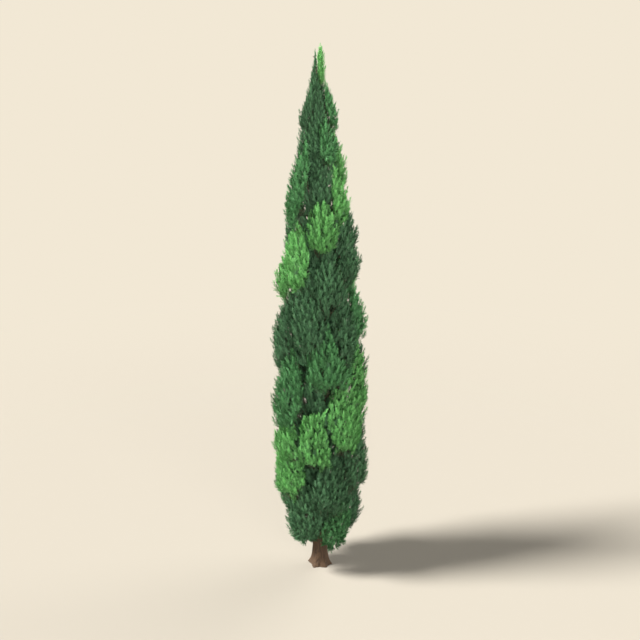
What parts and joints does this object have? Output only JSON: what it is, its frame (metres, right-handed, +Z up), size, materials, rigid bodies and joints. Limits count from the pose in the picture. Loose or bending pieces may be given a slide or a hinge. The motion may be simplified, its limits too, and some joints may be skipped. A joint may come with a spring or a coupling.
{
  "type": "italian cypress tree",
  "caption": "Narrow columnar Italian cypress with a short bare trunk, a low root flare and a dense crown of upright foliage masses that tapers to a pointed tip.",
  "frame": {"origin": "middle of the trunk's flat cut at ground level", "axes": "+Z up along the trunk, -Y the front of the tree, +X to its right"},
  "size_m": [2.2541, 2.2781, 11.9941],
  "materials": {
    "bark": "rough grey-brown bark with long shallow fissures",
    "foliage_deep": "deep green scale foliage in shade-grown upright sprays",
    "foliage_mid": "mid green scale foliage in upright sprays",
    "foliage_bright": "light green fresh scale foliage in upright sprays"
  },
  "bodies": {
    "root": {"trunk": "bark", "inner_foliage_1": "foliage_deep", "inner_foliage_2": "foliage_deep", "inner_foliage_3": "foliage_deep", "inner_foliage_4": "foliage_deep", "leader_foliage": "foliage_deep", "foliage_1_1": "foliage_mid", "foliage_1_2": "foliage_deep", "foliage_1_3": "foliage_deep", "foliage_1_4": "foliage_bright", "foliage_1_5": "foliage_deep", "foliage_1_6": "foliage_deep", "foliage_2_1": "foliage_deep", "foliage_2_2": "foliage_deep", "foliage_2_3": "foliage_bright", "foliage_2_4": "foliage_deep", "foliage_2_5": "foliage_mid", "foliage_2_6": "foliage_bright", "foliage_3_1": "foliage_bright", "foliage_3_2": "foliage_bright", "foliage_3_3": "foliage_deep", "foliage_3_4": "foliage_mid", "foliage_3_5": "foliage_deep", "foliage_3_6": "foliage_bright", "foliage_4_1": "foliage_mid", "foliage_4_2": "foliage_bright", "foliage_4_3": "foliage_deep", "foliage_4_4": "foliage_bright", "foliage_4_5": "foliage_deep", "foliage_4_6": "foliage_mid", "foliage_5_1": "foliage_deep", "foliage_5_2": "foliage_deep", "foliage_5_3": "foliage_mid", "foliage_5_4": "foliage_bright", "foliage_5_5": "foliage_deep", "foliage_5_6": "foliage_deep", "foliage_6_1": "foliage_deep", "foliage_6_2": "foliage_deep", "foliage_6_3": "foliage_bright", "foliage_6_4": "foliage_deep", "foliage_6_5": "foliage_bright", "foliage_6_6": "foliage_bright", "foliage_7_1": "foliage_bright", "foliage_7_2": "foliage_bright", "foliage_7_3": "foliage_deep", "foliage_7_4": "foliage_bright", "foliage_7_5": "foliage_deep", "foliage_7_6": "foliage_mid", "foliage_8_1": "foliage_mid", "foliage_8_2": "foliage_bright", "foliage_8_3": "foliage_deep", "foliage_8_4": "foliage_deep", "foliage_9_1": "foliage_mid", "foliage_9_2": "foliage_bright", "foliage_9_3": "foliage_deep", "tip_foliage": "foliage_bright"}
  },
  "joints": []
}
